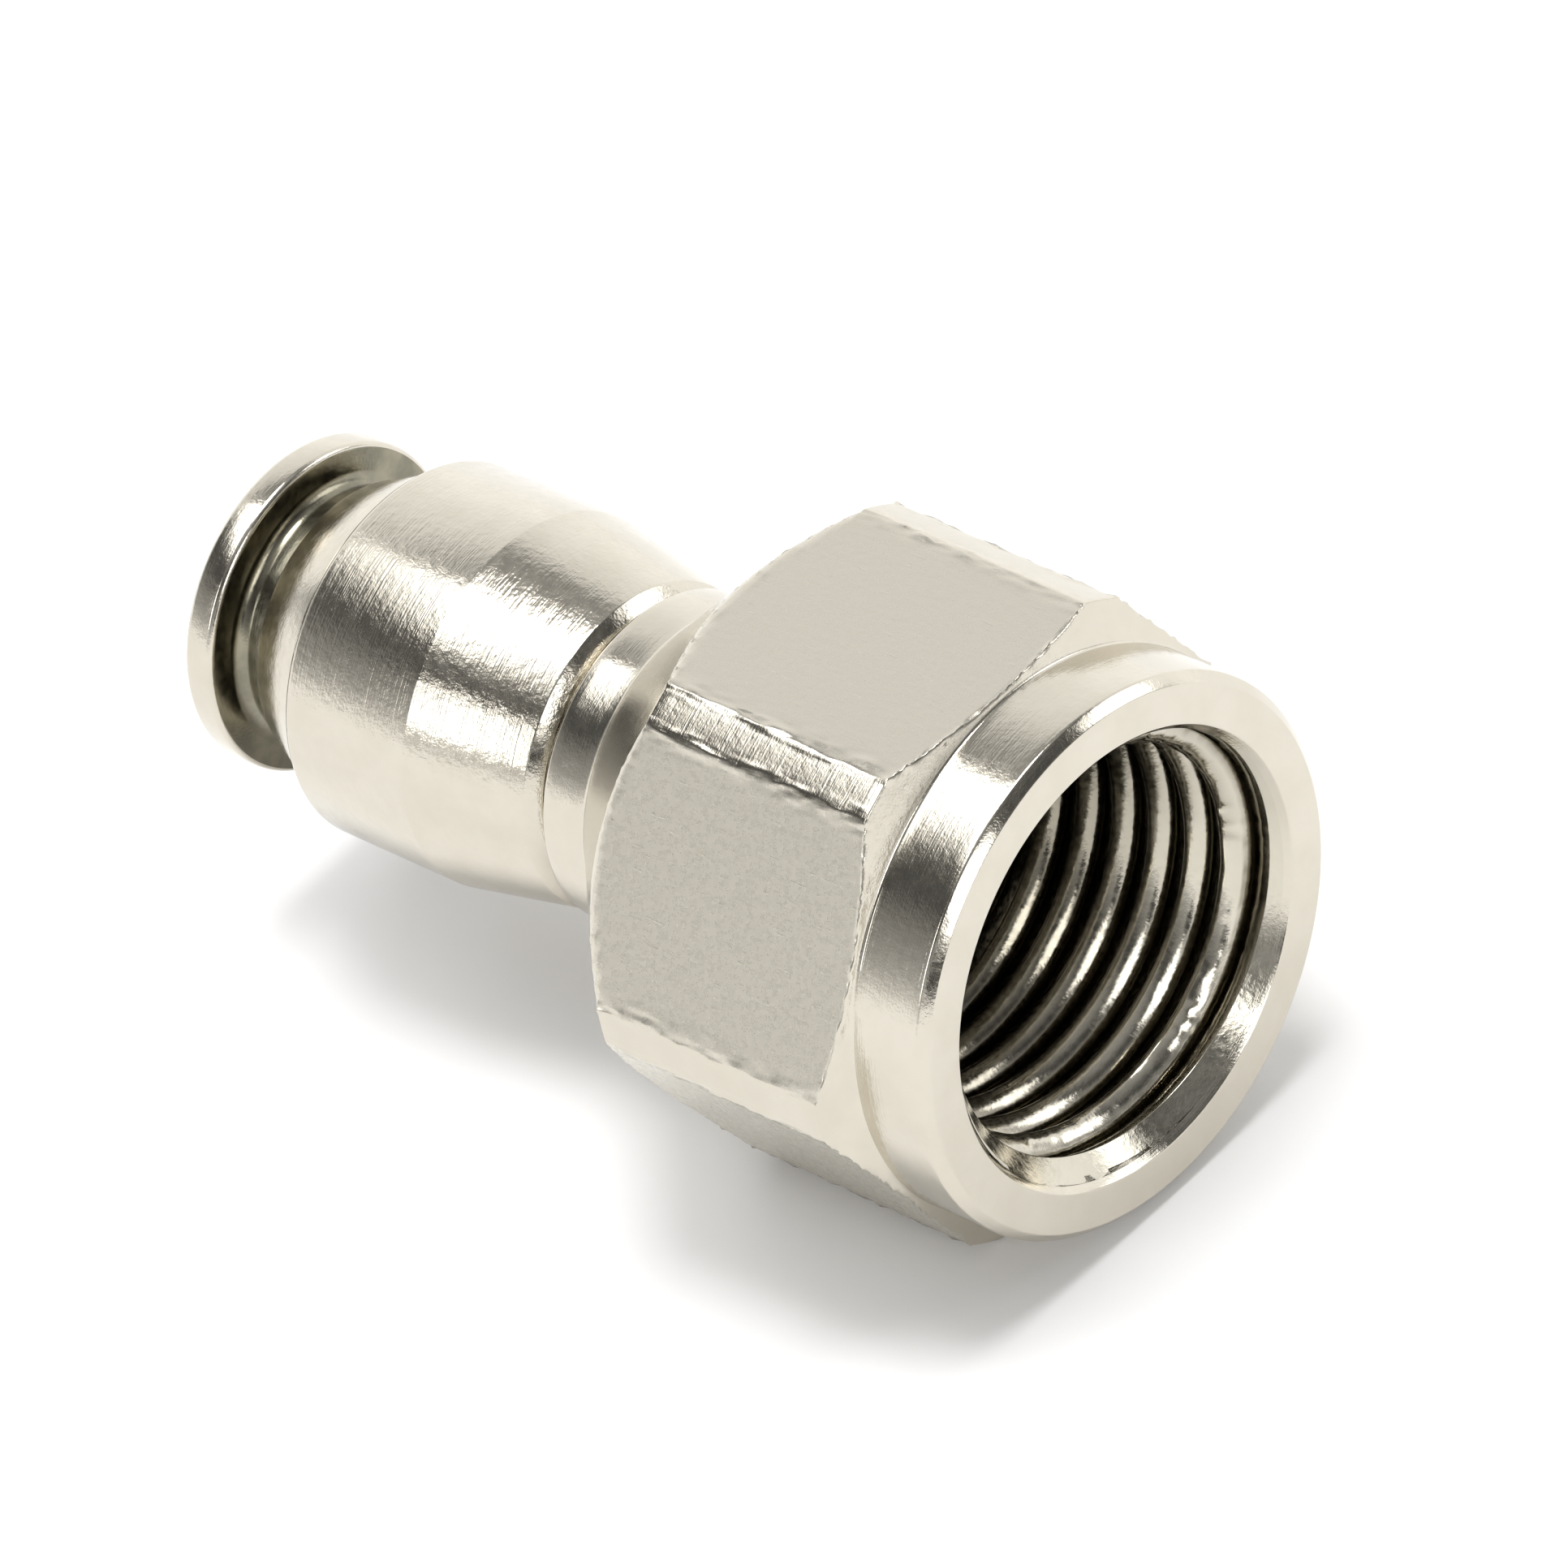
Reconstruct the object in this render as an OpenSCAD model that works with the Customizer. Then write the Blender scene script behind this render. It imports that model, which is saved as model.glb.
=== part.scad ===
// Push-to-connect fitting: 6 mm tube on one end, G 1/4 female thread on the other.
// The axis lies along X. The threaded end face is at x = 0 and the tube end points
// towards -X. The part lies on one flat of its hexagon. Every profile below lists
// points as [s, r]: s is the distance back from the threaded face and r the radius.

/* [Hex body] */
// Width across the flats of the hexagon
across_flats = 17; // [16.8:0.1:18]
// Diameter to which the corners of the hexagon are turned
corner_d = 18.9; // [18.4:0.1:19.2]
// Diameter of the round collar at the threaded end
collar_d = 16.6; // [16:0.1:16.6]
// Length of the collar, from the threaded face
collar_len = 2.6; // [2:0.1:4]
// Distance from the threaded face to the back end of the flats
hex_len = 12.2; // [11.5:0.1:12.8]
// Diameter of the neck between the hexagon and the sleeve
neck_d = 9.8; // [9.4:0.1:10.2]

/* [Female thread] */
// Minor diameter of the thread, as bored
thread_minor_d = 11.44; // [11.4:0.02:11.6]
// Diameter of the chamfer where the thread opens in the end face
thread_mouth_d = 13.66; // [13.3:0.02:14]
// Depth of the threaded hole at its full diameter
thread_depth = 11; // [9:0.5:11.5]
// Diameter of the passage from the thread to the tube
passage_d = 4.2; // [3:0.1:4.6]

/* [Tube] */
// Outside diameter of the tube that the fitting takes
tube_d = 6; // [5.9:0.05:6.05]
// Extra diameter of the passages that the tube slides through
tube_play = 0.2; // [0.1:0.05:0.25]

/* [Swivelling sleeve] */
// Diameter of the cylindrical part of the sleeve
sleeve_d = 11.16; // [11.1:0.02:11.6]
// Diameter of the sleeve's tapered end, beside the neck
sleeve_tip_d = 9.7; // [9.6:0.1:10.1]
// Length of the cylindrical part of the sleeve
sleeve_straight = 4.6; // [4.4:0.1:4.8]

/* [Release ring] */
// Diameter of the flange that is pushed to free the tube
flange_d = 9.8; // [9:0.1:11]
// Thickness of that flange
flange_t = 1; // [0.8:0.05:1.05]
// Diameter of the ring's neck, which slides in the bush
ring_neck_d = 7.4; // [7.3:0.05:7.5]
// Travel of the ring from fully out to fully pushed in
ring_travel = 0.9; // [0.6:0.05:1.2]

/* [Grab ring] */
// Number of claws that hold the tube
claws = 8; // [6:1:10]
// Width of the slots between the claws
claw_slot = 0.5; // [0.3:0.05:0.6]

/* [Hidden] */

round_fn = 96;
plated_body = [0.80, 0.77, 0.71];
plated_sleeve = [0.84, 0.81, 0.75];
plated_ring = [0.88, 0.85, 0.79];
steel = [0.62, 0.64, 0.66];
brass = [0.78, 0.66, 0.38];
rubber = [0.12, 0.12, 0.12];

// Clearance on the radius of every pair that slides or turns
running = 0.05;

// Places along the axis, as distances back from the threaded face
hex_back = hex_len + (across_flats - neck_d) / 2;
neck_shoulder = 17.4;
sleeve_end = neck_shoulder + 0.35;
sleeve_lip = 0.38;
wire_groove_s = 18.9;
tube_stop = wire_groove_s + 0.3;
seal_groove_s = 20.85;
spigot_end = 22.3;
cartridge_seat = spigot_end + 0.1;
seal_len = 1.7;
spacer_len = 0.95;
claw_t = 0.25;
sleeve_mouth = 26.65;
throat_end = 27.25;
ring_face = 31.1;
flange_back = ring_face - flange_t;
pushed_gap = 0.15;
bush_nose = flange_back - ring_travel - pushed_gap;

// Radii inside the cartridge
pocket_r = (tube_d + tube_play) / 2;
spigot_r = 4;
sleeve_bore_r = spigot_r + running + 0.01;
cartridge_r = 4.9;
ring_bead_r = ring_neck_d / 2 + 0.45;
claw_tip_r = tube_d / 2 - 0.12;
claw_root_r = 4.1;
claw_angle = 32;
inner_r = cartridge_r - 0.02;
wire_r = 0.27;
wire_w = wire_r + 0.03;
cord_r = 0.33;

// Turns a profile of [s, r] points about the X axis
module turned(profile) {
    rotate([0, 90, 0])
        rotate_extrude($fn = round_fn)
            polygon([for (p = profile) [p[1], -p[0]]]);
}

// Points of a quarter or part arc about [s, r], from angle a to angle b
function arc(s, r, radius, a, b, steps = 6) =
    [for (i = [0 : steps]) let (t = a + (b - a) * i / steps)
        [s + radius * cos(t), r + radius * sin(t)]];

// Hexagonal prism with a flat facing down, from the threaded face backwards
module hex_prism(length) {
    rotate([0, 90, 0])
        translate([0, 0, -length])
            linear_extrude(length)
                rotate(30)
                    circle(d = across_flats / cos(30), $fn = 6);
}

// Hex body: collar, hexagon, flare, neck and the spigot that carries the sleeve
module body() {
    rim = 0.3;
    front_cone_angle = 66;
    cone_len = (corner_d - collar_d) / 2 / tan(front_cone_angle);
    flare_start = hex_len - (corner_d - across_flats) / 2;
    wire_depth = 0.3;
    mouth_len = 1.2;
    drill_point = 118;
    drill_len = (thread_minor_d - passage_d) / 2 / tan(drill_point / 2);
    end_chamfer = 0.2;
    pocket_chamfer = 0.25;
    color(plated_body)
        difference() {
            intersection() {
                turned([
                    [0, 0], [0, collar_d / 2 - rim], [rim, collar_d / 2],
                    [collar_len, collar_d / 2], [collar_len + cone_len, corner_d / 2],
                    [flare_start, corner_d / 2], [hex_back, neck_d / 2],
                    [neck_shoulder, neck_d / 2], [neck_shoulder, spigot_r],
                    [wire_groove_s - wire_w, spigot_r],
                    [wire_groove_s - wire_w, spigot_r - wire_depth],
                    [wire_groove_s + wire_w, spigot_r - wire_depth],
                    [wire_groove_s + wire_w, spigot_r],
                    [spigot_end - end_chamfer, spigot_r],
                    [spigot_end, spigot_r - end_chamfer], [spigot_end, 0]
                ]);
                hex_prism(spigot_end + 1);
            }
            turned([
                [-1, 0], [-1, thread_mouth_d / 2], [0, thread_mouth_d / 2],
                [mouth_len, thread_minor_d / 2], [thread_depth, thread_minor_d / 2],
                [thread_depth + drill_len, passage_d / 2], [tube_stop, passage_d / 2],
                [tube_stop, pocket_r], [spigot_end - pocket_chamfer, pocket_r],
                [spigot_end, pocket_r + pocket_chamfer], [spigot_end + 1, pocket_r + pocket_chamfer],
                [spigot_end + 1, 0]
            ]);
        }
}

// Swivelling sleeve: houses the cartridge and turns on the spigot
module swivel_sleeve() {
    edge = 0.42;
    shoulder = sleeve_mouth - sleeve_straight;
    cord_w = 0.45;
    cord_seat_r = spigot_r + running + 2 * cord_r + 0.01;
    mouth_chamfer = 0.15;
    tip_chamfer = 0.4;
    color(plated_sleeve)
        turned(concat(
            [
                [sleeve_end, sleeve_bore_r], [wire_groove_s - wire_w, sleeve_bore_r],
                [wire_groove_s - wire_w, spigot_r + wire_r + running],
                [wire_groove_s + wire_w, spigot_r + wire_r + running],
                [wire_groove_s + wire_w, sleeve_bore_r],
                [seal_groove_s - cord_w, sleeve_bore_r],
                [seal_groove_s - cord_w, cord_seat_r], [seal_groove_s + cord_w, cord_seat_r],
                [seal_groove_s + cord_w, sleeve_bore_r],
                [cartridge_seat, sleeve_bore_r], [cartridge_seat, cartridge_r],
                [sleeve_mouth - mouth_chamfer, cartridge_r],
                [sleeve_mouth, cartridge_r + mouth_chamfer]
            ],
            arc(sleeve_mouth - edge, sleeve_d / 2 - edge, edge, 10, 90),
            [
                [shoulder, sleeve_d / 2], [sleeve_end + sleeve_lip, sleeve_tip_d / 2],
                [sleeve_end, sleeve_tip_d / 2 - tip_chamfer]
            ]
        ));
}

// Guide bush: pressed into the sleeve's mouth, it guides and holds the release ring
module guide_bush() {
    throat_r = ring_neck_d / 2 + running;
    chamber_r = ring_bead_r + 2 * running;
    bush_end = cartridge_seat + seal_len + spacer_len + claw_t;
    lead_in = 0.15;
    nose_wall = 0.35;
    nose_edge = 0.18;
    nose_turn = 65;
    lip = 0.25;
    nose_back = sleeve_mouth + 0.2;
    color(plated_ring)
        turned(concat(
            [
                [bush_end, chamber_r], [throat_end, chamber_r], [throat_end, throat_r],
                [bush_nose - lead_in, throat_r], [bush_nose, throat_r + lead_in]
            ],
            arc(bush_nose - nose_edge, throat_r + nose_wall - nose_edge, nose_edge, 0, nose_turn),
            [
                [nose_back, cartridge_r + lip], [nose_back, cartridge_r], [bush_end, cartridge_r]
            ]
        ));
}

// Release ring: flange, neck, holding bead and the nose that opens the claws
module release_ring() {
    fillet = 0.4;
    edge = 0.2;
    neck_r = ring_neck_d / 2;
    bead_back = throat_end - running;
    bead_len = 0.3;
    bead_chamfer = 0.1;
    nose_reach = 0.5;
    nose_end = bead_back - ring_travel - nose_reach;
    nose_wall = 0.2;
    entry_chamfer = 0.5;
    color(plated_ring)
        turned(concat(
            [
                [nose_end, pocket_r], [nose_end, pocket_r + nose_wall],
                [bead_back - bead_len, neck_r - bead_chamfer],
                [bead_back - bead_len, ring_bead_r - bead_chamfer],
                [bead_back - bead_len + bead_chamfer, ring_bead_r],
                [bead_back, ring_bead_r], [bead_back, neck_r]
            ],
            arc(flange_back - fillet, neck_r + fillet, fillet, 270, 360),
            arc(flange_back + edge, flange_d / 2 - edge, edge, 180, 90),
            arc(ring_face - edge, flange_d / 2 - edge, edge, 90, 0),
            [[ring_face, pocket_r + entry_chamfer], [ring_face - entry_chamfer, pocket_r]]
        ));
}

// Grab ring: sprung steel claws that slope inwards and bite on the tube
module grab_ring() {
    back = cartridge_seat + seal_len + spacer_len;
    slope = (claw_root_r - claw_tip_r) * tan(claw_angle);
    color(steel)
        difference() {
            turned([
                [back, inner_r], [back, claw_root_r], [back - slope, claw_tip_r],
                [back + claw_t - slope, claw_tip_r], [back + claw_t, claw_root_r],
                [back + claw_t, inner_r]
            ]);
            for (i = [0 : claws - 1])
                rotate([360 / claws * i, 0, 0])
                    translate([-back - 1, -claw_slot / 2, 0])
                        cube([3, claw_slot, claw_root_r]);
        }
}

// Spacer ring: backs the claws and holds the seal, with a relief for the claws
module spacer_ring() {
    front = cartridge_seat + seal_len;
    rim = 0.2;
    color(brass)
        turned([
            [front, pocket_r + rim / 2], [front, inner_r], [front + spacer_len, inner_r],
            [front + spacer_len, claw_root_r + rim], [front + rim, pocket_r + rim / 2]
        ]);
}

// Tube seal: rubber ring with two lips that press on the tube
module tube_seal() {
    seal_back = cartridge_seat + seal_len;
    squeeze = 0.05;
    lip_r = tube_d / 2 - squeeze;
    lip_place = 0.5;
    valley_r = lip_r + 0.35;
    end_r = valley_r + 0.1;
    color(rubber)
        turned([
            [cartridge_seat, inner_r], [cartridge_seat, end_r],
            [cartridge_seat + lip_place, lip_r], [cartridge_seat + seal_len / 2, valley_r],
            [seal_back - lip_place, lip_r], [seal_back, end_r], [seal_back, inner_r]
        ]);
}

// Swivel seal: O-ring between the sleeve and the spigot
module swivel_seal() {
    color(rubber)
        rotate([0, 90, 0])
            rotate_extrude($fn = round_fn)
                translate([spigot_r + running + cord_r, -seal_groove_s])
                    circle(r = cord_r, $fn = 32);
}

// Wire ring: snapped into the spigot's groove, it keeps the sleeve on
module swivel_wire_ring() {
    color(steel)
        rotate([0, 90, 0])
            rotate_extrude(angle = 320, $fn = round_fn)
                translate([spigot_r, -wire_groove_s])
                    circle(r = wire_r, $fn = 24);
}

body();
swivel_sleeve();
guide_bush();
release_ring();
grab_ring();
spacer_ring();
tube_seal();
swivel_seal();
swivel_wire_ring();
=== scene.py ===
"""Looks of a nickel-plated push-to-connect fitting: 6 mm tube on one end, G 1/4 female thread on the other.

The four plated pieces that show are rebuilt here with their real edges, mill marks and thread. The
steel, brass and rubber pieces inside them stay as they are in the CAD model, with materials of their
own. Lengths are in millimetres until a mesh is made. A profile's corners are (s, r, fillet): s is the
distance back from the threaded end face, so x = -s, r is the radius, and fillet rounds the corner.
"""

import math

import bmesh
import bpy
import numpy as np
from mathutils import Matrix, Vector, noise


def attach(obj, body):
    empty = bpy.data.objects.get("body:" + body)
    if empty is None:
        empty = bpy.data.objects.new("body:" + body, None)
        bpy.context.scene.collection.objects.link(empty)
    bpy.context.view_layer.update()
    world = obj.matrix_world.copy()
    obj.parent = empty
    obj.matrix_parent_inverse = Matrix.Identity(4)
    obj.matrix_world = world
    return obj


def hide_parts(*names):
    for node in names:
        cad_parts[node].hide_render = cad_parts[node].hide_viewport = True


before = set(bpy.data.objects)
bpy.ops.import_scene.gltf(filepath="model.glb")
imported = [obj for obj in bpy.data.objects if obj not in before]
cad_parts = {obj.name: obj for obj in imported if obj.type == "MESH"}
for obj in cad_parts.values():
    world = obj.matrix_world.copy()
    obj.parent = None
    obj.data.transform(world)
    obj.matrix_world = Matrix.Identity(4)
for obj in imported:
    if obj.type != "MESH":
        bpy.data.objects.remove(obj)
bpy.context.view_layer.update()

MM = 0.001

# ----------------------------------------------------------- dimensions, in millimetres
FLAT_R = 17.0 / 2                # half the width across the hexagon's flats
CORNER_R = 18.9 / 2              # radius to which the hexagon's corners are turned
COLLAR_R = 16.6 / 2
COLLAR_END = 2.6
FRONT_CONE_TURN = 66.0           # angle between the axis and the cone in front of the flats, in degrees
HEX_END = 12.2                   # where the rear 45 degree cone crosses the middle of a flat
NECK_R = 9.8 / 2
NECK_SHOULDER = 17.4
SPIGOT_R = 4.0
SPIGOT_END = 22.3
END_RIM_R = SPIGOT_R - 0.4       # where the spigot's turned outside ends on its end face
WIRE_GROOVE = (18.6, 19.2)
WIRE_GROOVE_DEPTH = 0.3
PASSAGE_R = 4.2 / 2
POCKET_R = 6.2 / 2
POCKET_CHAMFER = 0.25
TUBE_STOP = 19.2

# G 1/4 thread, 19 to the inch, with its crests bored off and rounded by tumbling
PITCH = 25.4 / 19
THREAD_MINOR_R = 11.6 / 2
THREAD_MAJOR_R = 13.157 / 2
FLANK = 62.5                     # tilt of both flanks, in degrees from the bore's wall
CREST_ARC_R, WORN_ARC_R, ROOT_ARC_R = 0.15, 0.95, 0.14
WORN_FROM, WORN_TO = 25, 58      # tilts between which tumbling has rounded a crest's outer edge
TORN = 0.05                      # how far the first crests are torn up and down
TORN_GRAIN = 0.35                # size of one tear
TORN_FULLY, TORN_END = 1.2, 2.6  # places at which tearing starts to fade and ends
THREAD_DEPTH = 11.0
THREAD_BLEND = 0.05              # width over which crests and countersink run into each other
RUN_OUT = 1.6                    # turns over which the thread fades out at the bottom
RUN_OUT_GAP = 0.2                # plain bore left below it
ROOT_FROM, ROOT_FULLY = 0.33, 0.45   # depths below a crest between which the plate is painted dark, as shade in the thread's roots
DRILL_SLOPE = math.radians(31)   # tilt of the cone left by the drill, from the end face
MOUTH_R = 13.66 / 2              # radius of the countersink in the end face
MOUTH_LEN = 1.2                  # distance from the face at which it meets the crests
MOUTH_STRAIGHT = 0.2             # length of countersink before the first groove cuts into it
MOUTH_EDGE_R = MOUTH_R + 0.12    # where the turned end face gives way to the countersink's edge

SLEEVE_R = 11.16 / 2
SLEEVE_MOUTH = 26.65
SLEEVE_SHOULDER = 22.05
SLEEVE_TIP = 17.75
SLEEVE_TIP_R = 9.7 / 2
SLEEVE_LIP = 0.38
SLEEVE_BORE_R = 4.06
WIRE_SEAT_R = 4.32               # bottom of the sleeve's own groove for the wire ring
SEAL_GROOVE = (20.4, 21.3)
SEAL_SEAT_R = 4.72
CARTRIDGE_R = 4.9
CARTRIDGE_SEAT = 22.4

BUSH_BACK = 25.3
BUSH_NOSE = 29.05
BUSH_LIP = 0.25                  # how far the bush's cone overlaps the sleeve's mouth
CHAMBER_R = 4.25                 # room in the bush for the release ring's bead
THROAT_BACK = 27.25
RING_NOSE = 25.8
RING_NECK_R = 7.4 / 2
FLANGE_R = 9.8 / 2
FLANGE_BACK = 30.1
RING_FACE = 31.1
RING_BEAD = (26.9, 27.2)
RING_BEAD_R = 4.15
RING_BEAD_CHAMFER = 0.1

# ----------------------------------------------------------- mesh resolution
COLUMNS_PER_FLAT = 80            # columns of the outside, six flats round
CORNER_COLUMNS = 22              # of those, how many cross the turned corner beside a flat
BUNCHING = 0.35                  # how much closer the columns of a flat are at its sides
ROW_STEP = 0.3
FINE_ROW_STEP = 0.045            # where the cones cut the flats
FINE_ROWS = [(COLLAR_END - 0.1, COLLAR_END + 0.75), (HEX_END - 1.2, HEX_END + 0.15)]
ARC_STEPS = 4
LATHE_SEGMENTS = 192
MERGE_DISTANCE = 1e-7


# ----------------------------------------------------------- profiles
def rounded(corners, closed=False):
    """Points of a profile with each corner turned into an arc of its own fillet radius."""
    points = []
    count = len(corners)
    for i, (s, r, fillet) in enumerate(corners):
        if fillet <= 0 or (not closed and i in (0, count - 1)):
            points.append((s, r))
            continue
        here = Vector((s, r))
        back = (Vector(corners[i - 1][:2]) - here).normalized()
        ahead = (Vector(corners[(i + 1) % count][:2]) - here).normalized()
        half_turn = (math.pi - back.angle(ahead)) / 2
        reach = fillet * math.tan(half_turn)
        centre = here + (back + ahead).normalized() * fillet / math.cos(half_turn)
        start, end = here + back * reach - centre, here + ahead * reach - centre
        for step in range(ARC_STEPS + 1):
            t = step / ARC_STEPS
            points.append(tuple(centre + start.lerp(end, t).normalized() * fillet))
    return points


def groove(place, surface_r, floor_r, floor_fillet=0.05):
    """Corners of a square groove between two places, turned into the surface at surface_r."""
    low, high = place
    return [(low, surface_r, 0.03), (low, floor_r, floor_fillet),
            (high, floor_r, floor_fillet), (high, surface_r, 0.03)]


def subdivided(points, step_at):
    """The same path with extra points, so that no step is longer than step_at(s) allows."""
    path = [points[0]]
    for a, b in zip(points, points[1:]):
        length = math.dist(a, b)
        middle = (a[0] + b[0]) / 2
        pieces = max(1, math.ceil(length / step_at(middle)))
        for i in range(1, pieces + 1):
            t = i / pieces
            path.append((a[0] + (b[0] - a[0]) * t, a[1] + (b[1] - a[1]) * t))
    return path


def smooth_step(low, high, value):
    t = np.clip((value - low) / (high - low), 0, 1)
    return t * t * (3 - 2 * t)


def smooth_min(a, b, blend):
    """Smaller of a and b, with the crease between them rounded off over the width blend."""
    overlap = np.maximum(blend - np.abs(a - b), 0) / blend
    return np.minimum(a, b) - overlap * overlap * blend / 4


def smooth_max(a, b, blend):
    return -smooth_min(-a, -b, blend)


# ----------------------------------------------------------- meshes
class Shell:
    """Collects rings of points round the X axis, and joins them into one closed mesh."""

    def __init__(self):
        self.points, self.faces, self.finish, self.mark = [], [], [], []

    def add(self, rings, mark=None):
        """rings is an array of rows x columns x 3, in millimetres. Returns the number of each point.
        mark goes with each point to its material: 1 on a milled flat or in a thread's root, where the plate
        is painted dark as shade, else 0."""
        first = len(self.points)
        rows, columns = rings.shape[:2]
        self.points.extend(rings.reshape(-1, 3) * MM)
        self.mark.extend(np.zeros(rows * columns) if mark is None else mark.reshape(-1))
        return first + np.arange(rows * columns).reshape(rows, columns)

    def skin(self, numbers, finish=0, seam_shift=0):
        """Faces between neighbouring rows. At the seam the rows meet others seam_shift further on."""
        rows, columns = numbers.shape
        for i in range(rows - 1):
            for j in range(columns - 1):
                self.face(finish, numbers[i, j], numbers[i + 1, j], numbers[i + 1, j + 1], numbers[i, j + 1])
            low, high = min(i + seam_shift, rows - 1), min(i + 1 + seam_shift, rows - 1)
            self.face(finish, numbers[i, -1], numbers[i + 1, -1], numbers[high, 0], numbers[low, 0])

    def bridge(self, fine, coarse, finish=0):
        """Faces between a ring and one with half as many points."""
        count = len(coarse)
        for j in range(count):
            after, next_fine = (j + 1) % count, fine[(2 * j + 2) % len(fine)]
            self.face(finish, fine[2 * j], fine[2 * j + 1], coarse[j])
            self.face(finish, fine[2 * j + 1], next_fine, coarse[after], coarse[j])

    def face(self, finish, *corners):
        self.faces.append(tuple(int(c) for c in corners))
        self.finish.append(finish)

    def build(self, name, materials):
        mesh = bpy.data.meshes.new(name)
        mesh.from_pydata([tuple(p) for p in self.points], [], self.faces)
        mesh.polygons.foreach_set("material_index", self.finish)
        mesh.attributes.new("mark", "FLOAT", "POINT").data.foreach_set("value", self.mark)
        work = bmesh.new()
        work.from_mesh(mesh)
        bmesh.ops.remove_doubles(work, verts=work.verts, dist=MERGE_DISTANCE)
        bmesh.ops.recalc_face_normals(work, faces=work.faces)
        for face in work.faces:
            face.smooth = True
        work.to_mesh(mesh)
        work.free()
        for material in materials:
            mesh.materials.append(material)
        piece = bpy.data.objects.new(name, mesh)
        bpy.context.scene.collection.objects.link(piece)
        return piece


def rings_from(path, angles):
    """Rings round the X axis, one for each (s, r) of a path. Angles run from +Y towards +Z."""
    path = np.array(path)
    s, r = path[:, :1], path[:, 1:2]
    return np.stack(np.broadcast_arrays(-s, r * np.cos(angles), r * np.sin(angles)), axis=2)


def even_angles(count):
    return np.arange(count) * 2 * math.pi / count


def lathe(name, corners, materials, second_finish=None):
    """A ring-shaped piece: a closed profile turned about the X axis. Faces in the box second_finish,
    given as low s, high s, low r and high r, have the second material."""
    shell = Shell()
    path = rounded(corners, closed=True)
    numbers = shell.add(rings_from(path + path[:1], even_angles(LATHE_SEGMENTS)))
    shell.skin(numbers)
    if second_finish:
        low_s, high_s, low_r, high_r = second_finish
        for i, face in enumerate(shell.faces):
            centre = sum(shell.points[corner] for corner in face) / len(face) / MM
            inside = low_s < -centre[0] < high_s and low_r < math.hypot(centre[1], centre[2]) < high_r
            shell.finish[i] = int(inside)
    return shell.build(name, materials)


# ----------------------------------------------------------- the hex body
EDGE_BLEND = 0.05                # width over which the flats' edges are rounded
RAGGED = 0.07                    # how far the tumbled edges of the flats wander
RAGGED_LIMIT = 0.25              # highest nick, as a share of RAGGED
RAGGED_REACH = 0.14              # how near an edge that wandering stays
RAGGED_GRAIN = 0.22              # size of one nick
BURR = 0.10                      # height of the beads of burr left along those edges
BURR_FROM, BURR_LIMIT = 0.1, 0.5  # noise above which a bead rises, and the most that it rises by


def hex_columns():
    """Angles of the columns: close together where the flats meet the turned corners."""
    border = math.acos(FLAT_R / CORNER_R)
    corner = np.linspace(-math.pi / 6, -border, CORNER_COLUMNS // 2, endpoint=False)
    across = COLUMNS_PER_FLAT - 2 * len(corner)
    t = np.linspace(-1, 1, across)
    flat = border * t * (1 + BUNCHING - BUNCHING * t * t)
    half = np.concatenate([corner, flat, -corner[::-1]])[:COLUMNS_PER_FLAT]
    return np.concatenate([half + math.radians(30 + 60 * k) for k in range(6)])


def row_step(s):
    """Spacing of the body's rows: fine where the cones cut the flats."""
    return FINE_ROW_STEP if any(low < s < high for low, high in FINE_ROWS) else ROW_STEP


def nicks(s, angles):
    """Noise about zero at each point of the body's outside, in two sizes of nick."""
    grid = np.zeros((len(s), len(angles)))
    for i, place in enumerate(s):
        for j, angle in enumerate(angles):
            at = Vector((place, CORNER_R * math.cos(angle), CORNER_R * math.sin(angle)))
            grid[i, j] = noise.noise(at / RAGGED_GRAIN) + 0.5 * noise.noise(at / RAGGED_GRAIN * 2.3)
    return grid


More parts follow.
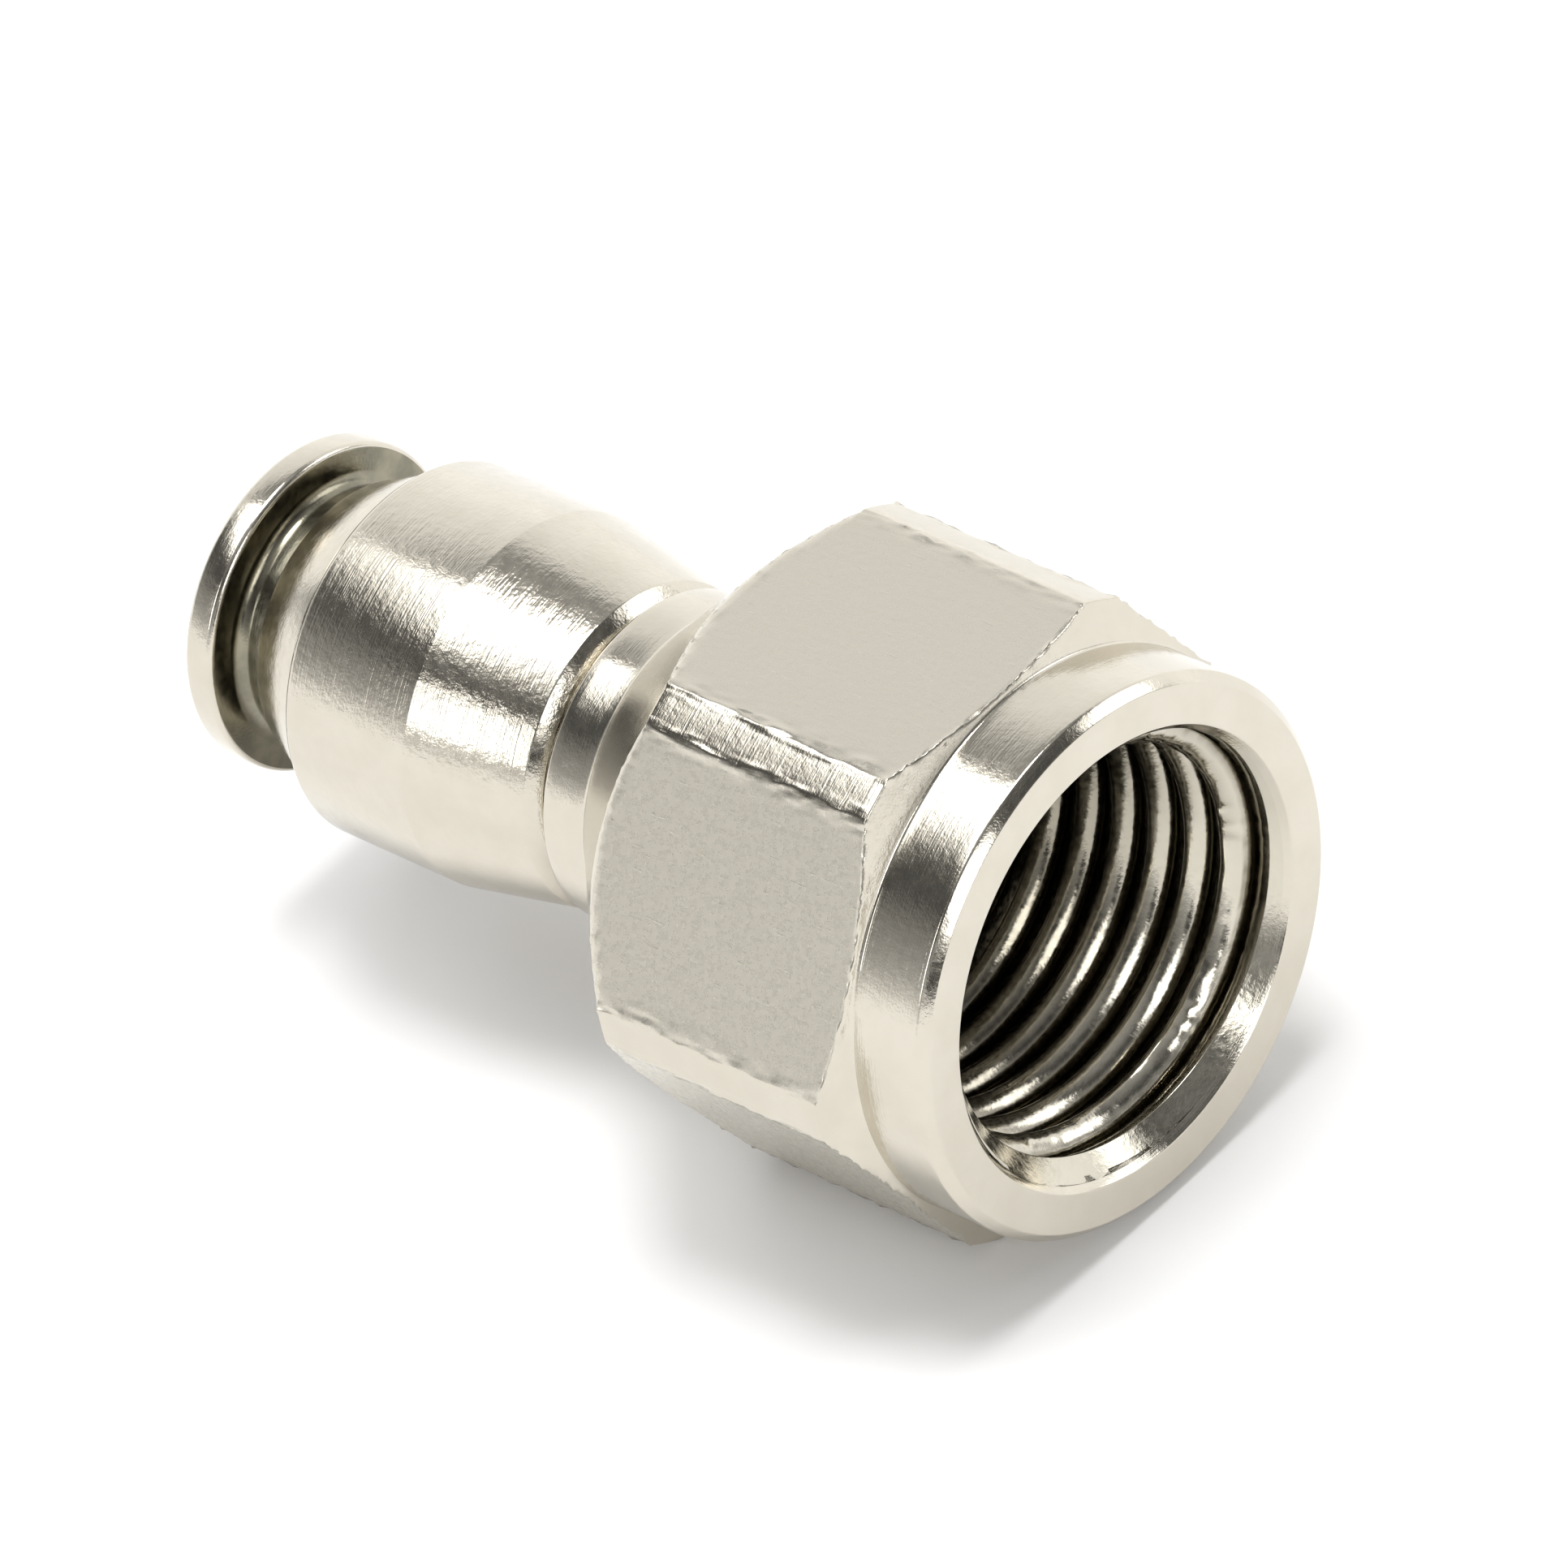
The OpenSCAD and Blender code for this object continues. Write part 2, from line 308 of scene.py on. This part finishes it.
def body_outside(shell, angles):
    """Collar, hexagon, flare, neck and spigot: the turned profile, or the flats where they cut it."""
    rim, end_chamfer = 0.3, 0.2
    cone = COLLAR_END + (CORNER_R - COLLAR_R) / math.tan(math.radians(FRONT_CONE_TURN))
    flare = HEX_END - (CORNER_R - FLAT_R)
    corners = [
        (0, MOUTH_EDGE_R, 0), (0, COLLAR_R - rim, 0.08), (rim, COLLAR_R, 0.12),
        (COLLAR_END, COLLAR_R, 0.12), (cone, CORNER_R, 0.06), (flare, CORNER_R, 0.06),
        (HEX_END + FLAT_R - NECK_R, NECK_R, 0.25), (NECK_SHOULDER, NECK_R, 0.12),
        (NECK_SHOULDER, SPIGOT_R, 0.1),
        *groove(WIRE_GROOVE, SPIGOT_R, SPIGOT_R - WIRE_GROOVE_DEPTH),
        (SPIGOT_END - end_chamfer, SPIGOT_R, 0.05), (SPIGOT_END, SPIGOT_R - end_chamfer, 0.03),
        (SPIGOT_END, END_RIM_R, 0),
    ]
    path = np.array(subdivided(rounded(corners), row_step))
    s, turned = path[:, 0], path[:, 1:2]
    from_normal = (angles - math.radians(30) + math.pi / 6) % (math.pi / 3) - math.pi / 6
    flat = FLAT_R / np.cos(from_normal)[None, :]
    gap = turned - flat
    near = np.exp(-(gap / RAGGED_REACH) ** 2)
    wander = nicks(s, angles)
    sawn = flat + RAGGED * near * np.minimum(wander, RAGGED_LIMIT)
    radius = smooth_min(turned, sawn, EDGE_BLEND)
    radius = radius + BURR * near * np.clip(wander - BURR_FROM, 0, BURR_LIMIT)
    radius = np.where(turned < FLAT_R - 0.1, turned, radius)
    flatness = smooth_step(-0.02, 0.03, turned - sawn)
    x = np.broadcast_to(-s[:, None], radius.shape)
    z = np.maximum(radius * np.sin(angles), -FLAT_R)
    numbers = shell.add(np.stack([x, radius * np.cos(angles), z], axis=2), flatness)
    shell.skin(numbers)
    return numbers[0], numbers[-1]


def thread_rows():
    """Places along one pitch from the top of a crest, and the thread's radius at each."""
    points = [(0.0, 0.0)]

    def bend(radius, from_tilt, to_tilt, steps):
        """Adds an arc that starts at the last point, with its tilts in degrees."""
        place, rise = points[-1]
        a = math.radians(from_tilt)
        for step in range(1, steps + 1):
            b = math.radians(from_tilt + (to_tilt - from_tilt) * step / steps)
            points.append((place + radius * (math.sin(b) - math.sin(a)),
                           rise + radius * (math.cos(a) - math.cos(b))))

    bend(CREST_ARC_R, 0, WORN_FROM, 3)
    bend(WORN_ARC_R, WORN_FROM, WORN_TO, 8)
    # the flank that faces the mouth is as long as makes the other flank end on the next crest
    half_root = ROOT_ARC_R * math.sin(math.radians(FLANK))
    crest_back = CREST_ARC_R * math.sin(math.radians(FLANK))
    spread = PITCH - points[-1][0] - 2 * half_root - crest_back
    lean = 1 / math.tan(math.radians(FLANK))
    crest_drop = CREST_ARC_R * (1 - math.cos(math.radians(FLANK)))
    front = (spread / lean - points[-1][1] + crest_drop) / 2
    place, rise = points[-1]
    points.append((place + front * lean, rise + front))
    bend(-ROOT_ARC_R, -FLANK, FLANK, 5)
    points.append((PITCH - crest_back, crest_drop))
    bend(CREST_ARC_R, -FLANK, 0, 4)
    points.pop()
    return [place for place, _ in points], [THREAD_MINOR_R + rise for _, rise in points]


def tears(x, angles):
    """Noise from -1 to 1 at each point of the thread near its mouth."""
    grid = np.zeros(x.shape)
    for (i, j), place in np.ndenumerate(x):
        if place > -TORN_END:
            at = Vector((place, THREAD_MAJOR_R * math.cos(angles[j]), THREAD_MAJOR_R * math.sin(angles[j])))
            grid[i, j] = noise.noise(at / TORN_GRAIN)
    return grid


def thread(shell, angles):
    """Right-handed G 1/4 thread on rows that follow its helix, with its countersink and run-out."""
    bottom, top = -THREAD_DEPTH, -MOUTH_STRAIGHT
    places, radii = thread_rows()
    turns = math.ceil((top - bottom) / PITCH) + 1
    row_x = np.concatenate([bottom - PITCH + PITCH * k + np.array(places) for k in range(turns + 1)])
    row_r = np.tile(radii, turns + 1)[:, None]
    x = row_x[:, None] + PITCH * (angles[None, :] - angles[0]) / (2 * math.pi)
    x = np.clip(x, bottom, top)
    run_out = smooth_step(bottom + RUN_OUT_GAP, bottom + RUN_OUT_GAP + RUN_OUT * PITCH, x)
    cut = THREAD_MINOR_R + (row_r - THREAD_MINOR_R) * run_out
    cut = cut + TORN * smooth_step(-TORN_END, -TORN_FULLY, x) * tears(x, angles)
    countersink = MOUTH_R + x * (MOUTH_R - THREAD_MINOR_R) / MOUTH_LEN
    radius = smooth_max(cut, countersink, THREAD_BLEND)
    # how far the plate is painted dark as shade, by depth below the crest
    root = smooth_step(ROOT_FROM, ROOT_FULLY, cut - np.maximum(countersink, THREAD_MINOR_R))
    mouth_side = x > top - 1e-9
    radius = np.where(mouth_side, countersink, radius)
    radius = np.where(x < bottom + 1e-9, THREAD_MINOR_R, radius)
    rings = np.stack([x, radius * np.cos(angles), radius * np.sin(angles)], axis=2)
    shell.skin(shell.add(rings, root), finish=1, seam_shift=len(places))
    return float(countersink[mouth_side][0]), -top


def body_bore(shell, angles, entry_r, entry_s, face_ring, end_ring):
    """The smooth bores: the mouth, and from the drill point through the passage to the tube's pocket."""
    mouth = rounded([(0, MOUTH_EDGE_R, 0), (0, MOUTH_R, 0.06), (entry_s, entry_r, 0)])
    mouth_rows = shell.add(rings_from(subdivided(mouth[1:], lambda s: 0.2), angles))
    shell.bridge(face_ring, mouth_rows[0])
    shell.skin(mouth_rows, finish=0)
    drill = THREAD_DEPTH + (THREAD_MINOR_R - PASSAGE_R) * math.tan(DRILL_SLOPE)
    corners = [
        (THREAD_DEPTH, THREAD_MINOR_R, 0), (drill, PASSAGE_R, 0.1), (TUBE_STOP, PASSAGE_R, 0.08),
        (TUBE_STOP, POCKET_R, 0.08), (SPIGOT_END - POCKET_CHAMFER, POCKET_R, 0.05),
        (SPIGOT_END, POCKET_R + POCKET_CHAMFER, 0.04), (SPIGOT_END, END_RIM_R - 0.02, 0),
    ]
    inner_rows = shell.add(rings_from(subdivided(rounded(corners), lambda s: 0.5), angles))
    shell.skin(inner_rows, finish=1)
    shell.bridge(end_ring, inner_rows[-1])


def hex_body(materials):
    shell = Shell()
    angles = hex_columns()
    face_ring, end_ring = body_outside(shell, angles)
    entry_r, entry_s = thread(shell, angles[::2])
    body_bore(shell, angles[::2], entry_r, entry_s, face_ring, end_ring)
    return shell.build("plated_hex_body", materials)


# ----------------------------------------------------------- the turned rings
def sleeve_profile():
    mouth_chamfer, mouth_lip, tip_chamfer = 0.15, 0.12, 0.4
    return [
        (SLEEVE_TIP, SLEEVE_BORE_R, 0.05), *groove(WIRE_GROOVE, SLEEVE_BORE_R, WIRE_SEAT_R, 0.04),
        *groove(SEAL_GROOVE, SLEEVE_BORE_R, SEAL_SEAT_R),
        (CARTRIDGE_SEAT, SLEEVE_BORE_R, 0.05), (CARTRIDGE_SEAT, CARTRIDGE_R, 0.05),
        (SLEEVE_MOUTH - mouth_chamfer, CARTRIDGE_R, 0.05), (SLEEVE_MOUTH, CARTRIDGE_R + mouth_lip, 0.05),
        (SLEEVE_MOUTH, SLEEVE_R, 0.24), (SLEEVE_SHOULDER, SLEEVE_R, 0.2),
        (SLEEVE_TIP + SLEEVE_LIP, SLEEVE_TIP_R, 0.08), (SLEEVE_TIP, SLEEVE_TIP_R - tip_chamfer, 0.06),
    ]


def bush_profile():
    lead_in, nose_wall = 0.15, 0.4
    throat = RING_NECK_R + 0.05
    cone_back = SLEEVE_MOUTH + 0.2
    return [
        (BUSH_BACK, CHAMBER_R, 0.05), (THROAT_BACK, CHAMBER_R, 0.05), (THROAT_BACK, throat, 0.05),
        (BUSH_NOSE - lead_in, throat, 0.05), (BUSH_NOSE, throat + lead_in, 0.03),
        (BUSH_NOSE, throat + nose_wall, 0.25), (cone_back, CARTRIDGE_R + BUSH_LIP, 0.05),
        (cone_back, CARTRIDGE_R, 0.02), (BUSH_BACK, CARTRIDGE_R, 0.05),
    ]


def ring_profile():
    nose_wall, entry_chamfer = 0.2, 0.5
    bead_front, bead_back = RING_BEAD
    return [
        (RING_NOSE, POCKET_R, 0.04), (RING_NOSE, POCKET_R + nose_wall, 0.05),
        (bead_front, RING_NECK_R - RING_BEAD_CHAMFER, 0.05),
        (bead_front, RING_BEAD_R - RING_BEAD_CHAMFER, 0.03),
        (bead_front + RING_BEAD_CHAMFER, RING_BEAD_R, 0.03), (bead_back, RING_BEAD_R, 0.03),
        (bead_back, RING_NECK_R, 0.05), (FLANGE_BACK, RING_NECK_R, 0.4), (FLANGE_BACK, FLANGE_R, 0.18),
        (RING_FACE, FLANGE_R, 0.18), (RING_FACE, POCKET_R + entry_chamfer, 0.1),
        (RING_FACE - entry_chamfer, POCKET_R, 0.2),
    ]


# ----------------------------------------------------------- materials
class Graph:
    """A node tree, with one short call for each node."""

    def __init__(self, tree):
        self.tree = tree
        tree.nodes.clear()

    def add(self, kind, inputs=None, **options):
        made = self.tree.nodes.new("ShaderNode" + kind)
        for option, value in options.items():
            setattr(made, option, value)
        for socket, value in (inputs or {}).items():
            if isinstance(value, bpy.types.NodeSocket):
                self.tree.links.new(value, made.inputs[socket])
            else:
                made.inputs[socket].default_value = value
        return made

    def math(self, operation, a, b=0.0):
        return self.add("Math", {0: a, 1: b}, operation=operation).outputs[0]

    def noise(self, vector, scale, detail=2.0, rough=0.5):
        inputs = {"Vector": vector, "Scale": scale, "Detail": detail, "Roughness": rough}
        return self.add("TexNoise", inputs).outputs[0]

    def remap(self, value, low, high, to_low=0.0, to_high=1.0):
        inputs = {0: value, 1: low, 2: high, 3: to_low, 4: to_high}
        return self.add("MapRange", inputs, interpolation_type="SMOOTHSTEP").outputs[0]

    def blend(self, factor, a, b):
        node = self.add("Mix", {0: factor, 6: a, 7: b}, data_type="RGBA")
        return node.outputs[2]

    def bump(self, height, depth_mm, normal=None):
        inputs = {"Height": height, "Distance": depth_mm * MM, "Strength": 1.0}
        if normal is not None:
            inputs["Normal"] = normal
        return self.add("Bump", inputs).outputs[0]

    def place_mm(self):
        """Place on the piece, in millimetres."""
        place = self.add("TexCoord").outputs["Object"]
        return self.add("VectorMath", {0: place, 3: 1000.0}, operation="SCALE").outputs[0]

    def stretched(self, vector, factors):
        return self.add("VectorMath", {0: vector, 1: factors}, operation="MULTIPLY").outputs[0]

    def tool_marks(self, place, per_mm):
        """Rings left by a lathe tool: noise along the axis and the radius, nearly even round the piece."""
        x = self.add("SeparateXYZ", {0: place}).outputs[0]
        across = self.stretched(place, (0.0, 1.0, 1.0))
        radius = self.add("VectorMath", {0: across}, operation="LENGTH").outputs["Value"]
        wander = self.math("MULTIPLY", self.noise(place, 0.8, 1.0), 0.05)
        along = self.math("ADD", self.math("ADD", x, self.math("MULTIPLY", radius, 0.62)), wander)
        inputs = {"W": along, "Scale": per_mm, "Detail": 3.0, "Roughness": 0.6}
        return self.add("TexNoise", inputs, noise_dimensions="1D").outputs[0]

    def surface(self, color, rough, normal, metallic=1.0):
        inputs = {"Base Color": color, "Roughness": rough, "Metallic": metallic, "Normal": normal}
        shader = self.add("BsdfPrincipled", inputs)
        self.add("OutputMaterial", {0: shader.outputs[0]})
        return shader


def new_graph(name):
    material = bpy.data.materials.new(name)
    material.use_nodes = True
    return material, Graph(material.node_tree)


GRAIN = 0.0025                   # depth of the finest tumbling marks, in millimetres
LIGHT_NICKEL, DARK_NICKEL = (0.64, 0.60, 0.515), (0.61, 0.57, 0.485)


def nickel(name, light=LIGHT_NICKEL, dark=DARK_NICKEL, rough=(0.10, 0.20), dents=0.004, lines=0.002):
    """Bright nickel plate on turned brass, dulled and dented in small spots by tumbling. dents and lines
    are the depths of those spots and of the tool marks, in millimetres."""
    material, g = new_graph(name)
    place = g.place_mm()
    tone = g.noise(place, 0.9, 3.0, 0.6)
    color = g.blend(g.remap(tone, 0.3, 0.7), (*light, 1), (*dark, 1))
    haze = g.noise(place, 3.5, 4.0, 0.65)
    gloss = g.remap(haze, 0.3, 0.75, *rough)
    normal = g.bump(g.tool_marks(place, 14.0), lines)
    normal = g.bump(g.noise(place, 4.0, 3.0, 0.6), dents, normal)
    normal = g.bump(g.noise(place, 13.0, 2.0, 0.6), GRAIN, normal)
    g.surface(color, gloss, normal)
    return material


def body_nickel():
    """The hex body's plate: turned and bright all round, satin and scratched on the six flats."""
    material, g = new_graph("nickel_on_hex_body")
    place = g.place_mm()
    flatness = g.add("Attribute", attribute_name="mark").outputs["Fac"]
    tone = g.noise(place, 0.7, 3.0, 0.6)
    color = g.blend(g.remap(tone, 0.3, 0.7), (*LIGHT_NICKEL, 1), (*DARK_NICKEL, 1))
    color = g.blend(flatness, color, (0.61, 0.575, 0.495, 1))
    speck = g.remap(g.noise(g.stretched(place, (0.9, 1.6, 1.6)), 2.2, 5.0, 0.7), 0.62, 0.74)
    stain = g.math("MULTIPLY", speck, g.math("MULTIPLY", flatness, 0.5))
    color = g.blend(stain, color, (0.50, 0.47, 0.41, 1))
    turned_gloss = g.remap(g.noise(place, 3.5, 4.0, 0.65), 0.3, 0.75, 0.09, 0.18)
    flat_gloss = g.remap(g.noise(place, 5.0, 4.0, 0.7), 0.3, 0.7, 0.24, 0.32)
    gloss = g.add("Mix", {0: flatness, 2: turned_gloss, 3: flat_gloss}).outputs[0]
    turned = g.math("SUBTRACT", 1.0, flatness)
    normal = g.bump(g.math("MULTIPLY", g.tool_marks(place, 14.0), turned), 0.003)
    dented = g.math("SUBTRACT", 1.0, g.math("MULTIPLY", flatness, 0.7))
    normal = g.bump(g.math("MULTIPLY", g.noise(place, 4.0, 3.0, 0.6), dented), 0.006, normal)
    scratch = g.remap(g.noise(g.stretched(place, (0.55, 5.0, 5.0)), 1.6, 2.0, 0.5), 0.66, 0.72)
    milled = g.noise(g.stretched(place, (1.0, 3.0, 3.0)), 1.6, 3.0, 0.6)
    milled = g.math("ADD", milled, g.math("MULTIPLY", scratch, 0.6))
    normal = g.bump(g.math("MULTIPLY", milled, flatness), 0.003, normal)
    normal = g.bump(g.math("MULTIPLY", g.noise(place, 13.0, 2.0, 0.6), turned), GRAIN, normal)
    g.surface(color, gloss, normal)
    return material


def thread_nickel_with_painted_shade():
    """Plate that is bright on the crests near the mouth, with painted shade that darkens it in the roots and
    deep inside the bore.
    """
    material, g = new_graph("nickel_in_thread_with_painted_shade")
    place = g.place_mm()
    root = g.add("Attribute", attribute_name="mark").outputs["Fac"]
    color = g.blend(g.noise(place, 1.5, 3.0), (0.62, 0.585, 0.50, 1), (0.55, 0.515, 0.43, 1))
    # painted shade: the plate turns darker towards the bottom of the bore
    deep = g.remap(g.add("SeparateXYZ", {0: place}).outputs[0], -8.0, -2.0, 0.7, 0.0)
    color = g.blend(deep, color, (0.20, 0.18, 0.13, 1))
    # painted shade: near black in the thread's roots
    color = g.blend(root, color, (0.10, 0.085, 0.05, 1))
    gloss = g.remap(g.noise(place, 5.0, 4.0), 0.3, 0.7, 0.10, 0.20)
    g.surface(color, gloss, g.bump(g.noise(place, 5.0, 3.0, 0.6), 0.007))
    return material


def spring_steel():
    material, g = new_graph("sprung_stainless_steel")
    place = g.place_mm()
    color = g.blend(g.noise(place, 1.5, 3.0), (0.55, 0.55, 0.56, 1), (0.47, 0.47, 0.48, 1))
    gloss = g.remap(g.noise(place, 4.0, 4.0), 0.3, 0.7, 0.16, 0.30)
    g.surface(color, gloss, g.bump(g.noise(place, 7.0, 3.0), 0.002))
    return material


def bare_brass():
    material, g = new_graph("bare_turned_brass")
    place = g.place_mm()
    color = g.blend(g.noise(place, 1.2, 4.0), (0.83, 0.64, 0.30, 1), (0.70, 0.52, 0.23, 1))
    gloss = g.remap(g.noise(place, 4.0, 4.0), 0.3, 0.7, 0.18, 0.32)
    g.surface(color, gloss, g.bump(g.tool_marks(place, 12.0), 0.003))
    return material


def seal_rubber():
    material, g = new_graph("nitrile_rubber")
    place = g.place_mm()
    color = g.blend(g.noise(place, 2.0, 4.0), (0.016, 0.016, 0.017, 1), (0.030, 0.030, 0.031, 1))
    gloss = g.remap(g.noise(place, 6.0, 4.0), 0.3, 0.7, 0.42, 0.62)
    g.surface(color, gloss, g.bump(g.noise(place, 9.0, 4.0), 0.004), metallic=0.0)
    return material


# ----------------------------------------------------------- pieces
body_finish = body_nickel()
thread_plate_and_painted_shade = thread_nickel_with_painted_shade()
# painted shade: a dark copy of the plate for the release ring's neck and the flange's inner face, standing
# in for the shade in the gap between ring and bush
painted_shade_recess_finish = nickel("nickel_painted_as_recess_shade", light=(0.30, 0.28, 0.21), dark=(0.19, 0.18, 0.14),
                       rough=(0.16, 0.26), dents=0.003, lines=0.001)
sleeve_finish = nickel("nickel_on_sleeve", dents=0.013, lines=0.006)
bush_finish = nickel("nickel_on_bush", rough=(0.10, 0.22), dents=0.008)
ring_finish = nickel("nickel_on_ring", dents=0.008)

# the release ring's neck and the flange's inner face, where the plate is painted dark as shade
ring_painted_shade_box = (RING_BEAD[1], FLANGE_BACK + 0.02, RING_NECK_R - 0.1, FLANGE_R - 0.12)

for piece, body, node, slot in [
    (hex_body([body_finish, thread_plate_and_painted_shade]),
     "hex_body", "body", "nickel_body"),
    (lathe("plated_swivel_sleeve", sleeve_profile(), [sleeve_finish]),
     "sleeve", "swivel_sleeve", "nickel_sleeve"),
    (lathe("plated_guide_bush", bush_profile(), [bush_finish]),
     "sleeve", "guide_bush", "nickel_bush"),
    (lathe("plated_release_ring", ring_profile(), [ring_finish, painted_shade_recess_finish], ring_painted_shade_box),
     "ring", "release_ring", "nickel_ring"),
]:
    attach(piece, body)
    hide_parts(node)

steel, brass, rubber = spring_steel(), bare_brass(), seal_rubber()
for node, material in {
    "grab_ring": steel, "swivel_wire_ring": steel, "spacer_ring": brass,
    "tube_seal": rubber, "swivel_seal": rubber,
}.items():
    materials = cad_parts[node].data.materials
    for i in range(len(materials)):
        materials[i] = material

# ----------------------------------------------------------- floor
FLOOR_SIZE = 4.0
FLOOR_GAP = 0.02                 # keeps the bottom flat clear of the floor, in millimetres
floor_mesh = bpy.data.meshes.new("floor")
half, level = FLOOR_SIZE / 2, -(FLAT_R + FLOOR_GAP) * MM
floor_corners = [(-half, -half, level), (half, -half, level), (half, half, level), (-half, half, level)]
floor_mesh.from_pydata(floor_corners, [], [(0, 1, 2, 3)])
floor = bpy.data.objects.new("floor", floor_mesh)
bpy.context.scene.collection.objects.link(floor)
floor_material, g = new_graph("white_paper")
paper = g.blend(g.noise(g.place_mm(), 0.02, 3.0), (0.86, 0.86, 0.87, 1), (0.88, 0.88, 0.88, 1))
shader = g.surface(paper, 0.9, g.bump(g.noise(g.place_mm(), 2.0, 3.0), 0.002), metallic=0.0)
shader.inputs["Emission Color"].default_value = (1, 1, 1, 1)
shader.inputs["Emission Strength"].default_value = 0.05
floor_mesh.materials.append(floor_material)


# ----------------------------------------------------------- studio light
def panel(g, ray, azimuth, elevation, half_width, half_height, soft=3.0):
    """Mask of a soft-edged rectangle of light, with its middle and half sizes as angles in degrees."""
    turned = g.add("VectorRotate", {"Vector": ray, "Angle": -math.radians(azimuth)}, rotation_type="Z_AXIS")
    xyz = g.add("SeparateXYZ", {0: turned.outputs[0]})
    sideways = g.math("ABSOLUTE", g.math("ARCTAN2", xyz.outputs[1], xyz.outputs[0]))
    height = g.math("SUBTRACT", g.math("ARCSINE", xyz.outputs[2]), math.radians(elevation))
    height = g.math("ABSOLUTE", height)
    across = g.remap(sideways, math.radians(half_width - soft), math.radians(half_width + soft), 1.0, 0.0)
    upright = g.remap(height, math.radians(half_height - soft), math.radians(half_height + soft), 1.0, 0.0)
    return g.math("MULTIPLY", across, upright)


def disc(g, ray, azimuth, elevation, radius, soft=2.0):
    """Mask of a soft-edged round light, with angles in degrees."""
    flat = math.cos(math.radians(elevation))
    toward = (flat * math.cos(math.radians(azimuth)), flat * math.sin(math.radians(azimuth)),
              math.sin(math.radians(elevation)))
    cosine = g.add("VectorMath", {0: ray, 1: toward}, operation="DOT_PRODUCT").outputs["Value"]
    away = g.math("ARCCOSINE", g.math("MINIMUM", cosine, 1.0))
    return g.remap(away, math.radians(radius - soft), math.radians(radius + soft), 1.0, 0.0)


def levels(g, value, stops):
    """A brightness that follows value through stops of (value, brightness)."""
    low, high = stops[0][0], stops[-1][0]
    top = max(level for _, level in stops)
    ramp = g.add("ValToRGB", {0: g.math("DIVIDE", g.math("SUBTRACT", value, low), high - low)})
    ramp.color_ramp.interpolation = "B_SPLINE" if len(stops) > 3 else "LINEAR"
    elements = ramp.color_ramp.elements
    while len(elements) < len(stops):
        elements.new(0.5)
    for element, (at, level) in zip(elements, stops):
        element.position = (at - low) / (high - low)
        element.color = (level / top, level / top, level / top, 1)
    return g.math("MULTIPLY", ramp.outputs[0], top)


# levels are (elevation, brightness), panels (azimuth, elevation, half width, half height, softness)
BASE_LEVELS = [(-10, 1.3), (0, 1.2), (6, 0.6), (15, 0.38), (25, 0.28), (33, 0.06), (42, 0.1), (55, 0.35),
               (70, 0.45), (90, 0.45)]
WALL = (125, 17, 60, 32, 7)      # bright wall behind the fitting
WALL_LEVELS = [(-10, 1.4), (10, 1.35), (45, 1.0)]
DIM_PANEL, DIMMING = (-36, 2, 9, 10), 0.9    # dark camera side, and how much of the light it takes
BRIGHT_PANELS = [
    (3.2, (-155, 67, 33, 17)), (3.2, (-108, 23, 7, 13)), (3.2, (-20, 26, 13, 12)), (2.5, (54, 24, 12, 11)),
]
OVERHEAD, OVERHEAD_LEVEL = (80, 85, 12), 14.0    # small lamp that throws the shadow

world = bpy.data.worlds.new("studio")
world.use_nodes = True
bpy.context.scene.world = world
g = Graph(world.node_tree)
ray = g.add("TexCoord").outputs["Generated"]
ray_xyz = g.add("SeparateXYZ", {0: ray})
rise = g.math("MULTIPLY", g.math("ARCSINE", ray_xyz.outputs[2]), 180 / math.pi)
sky = levels(g, rise, BASE_LEVELS)
sky = g.math("MAXIMUM", sky, g.math("MULTIPLY", panel(g, ray, *WALL), levels(g, rise, WALL_LEVELS)))
dimmed = g.math("MULTIPLY", panel(g, ray, *DIM_PANEL), DIMMING)
sky = g.math("MULTIPLY", sky, g.math("SUBTRACT", 1.0, dimmed))
for brightness, place in BRIGHT_PANELS:
    sky = g.math("ADD", sky, g.math("MULTIPLY", panel(g, ray, *place), brightness))
sky = g.math("ADD", sky, g.math("MULTIPLY", disc(g, ray, *OVERHEAD), OVERHEAD_LEVEL))
background = g.add("Background", {"Color": (1, 1, 1, 1), "Strength": sky})
g.add("OutputWorld", {0: background.outputs[0]})

# ----------------------------------------------------------- camera
VIEW_AZIMUTH, VIEW_ELEVATION, VIEW_ROLL = (math.radians(a) for a in (50.65, 39.71, -14.13))
VIEW_DISTANCE = 694.41
VIEW_TARGET = Vector((-12.944, 0.345, 0.557))
back = Vector((math.sin(VIEW_AZIMUTH) * math.cos(VIEW_ELEVATION),
               -math.cos(VIEW_AZIMUTH) * math.cos(VIEW_ELEVATION),
               math.sin(VIEW_ELEVATION)))
level_right = (-back).cross(Vector((0, 0, 1))).normalized()
level_up = level_right.cross(-back)
right = level_right * math.cos(VIEW_ROLL) + level_up * math.sin(VIEW_ROLL)
up = level_up * math.cos(VIEW_ROLL) - level_right * math.sin(VIEW_ROLL)
camera = bpy.data.objects.new("camera", bpy.data.cameras.new("camera"))
bpy.context.scene.collection.objects.link(camera)
camera.data.sensor_width = 36.0
camera.data.lens = 576.0
camera.data.clip_start = 0.01
camera.data.clip_end = 20.0
rotation = Matrix((right, up, back)).transposed().to_4x4()
camera.matrix_world = Matrix.Translation((VIEW_TARGET + back * VIEW_DISTANCE) * MM) @ rotation
bpy.context.scene.camera = camera
bpy.context.scene.view_settings.view_transform = "Standard"
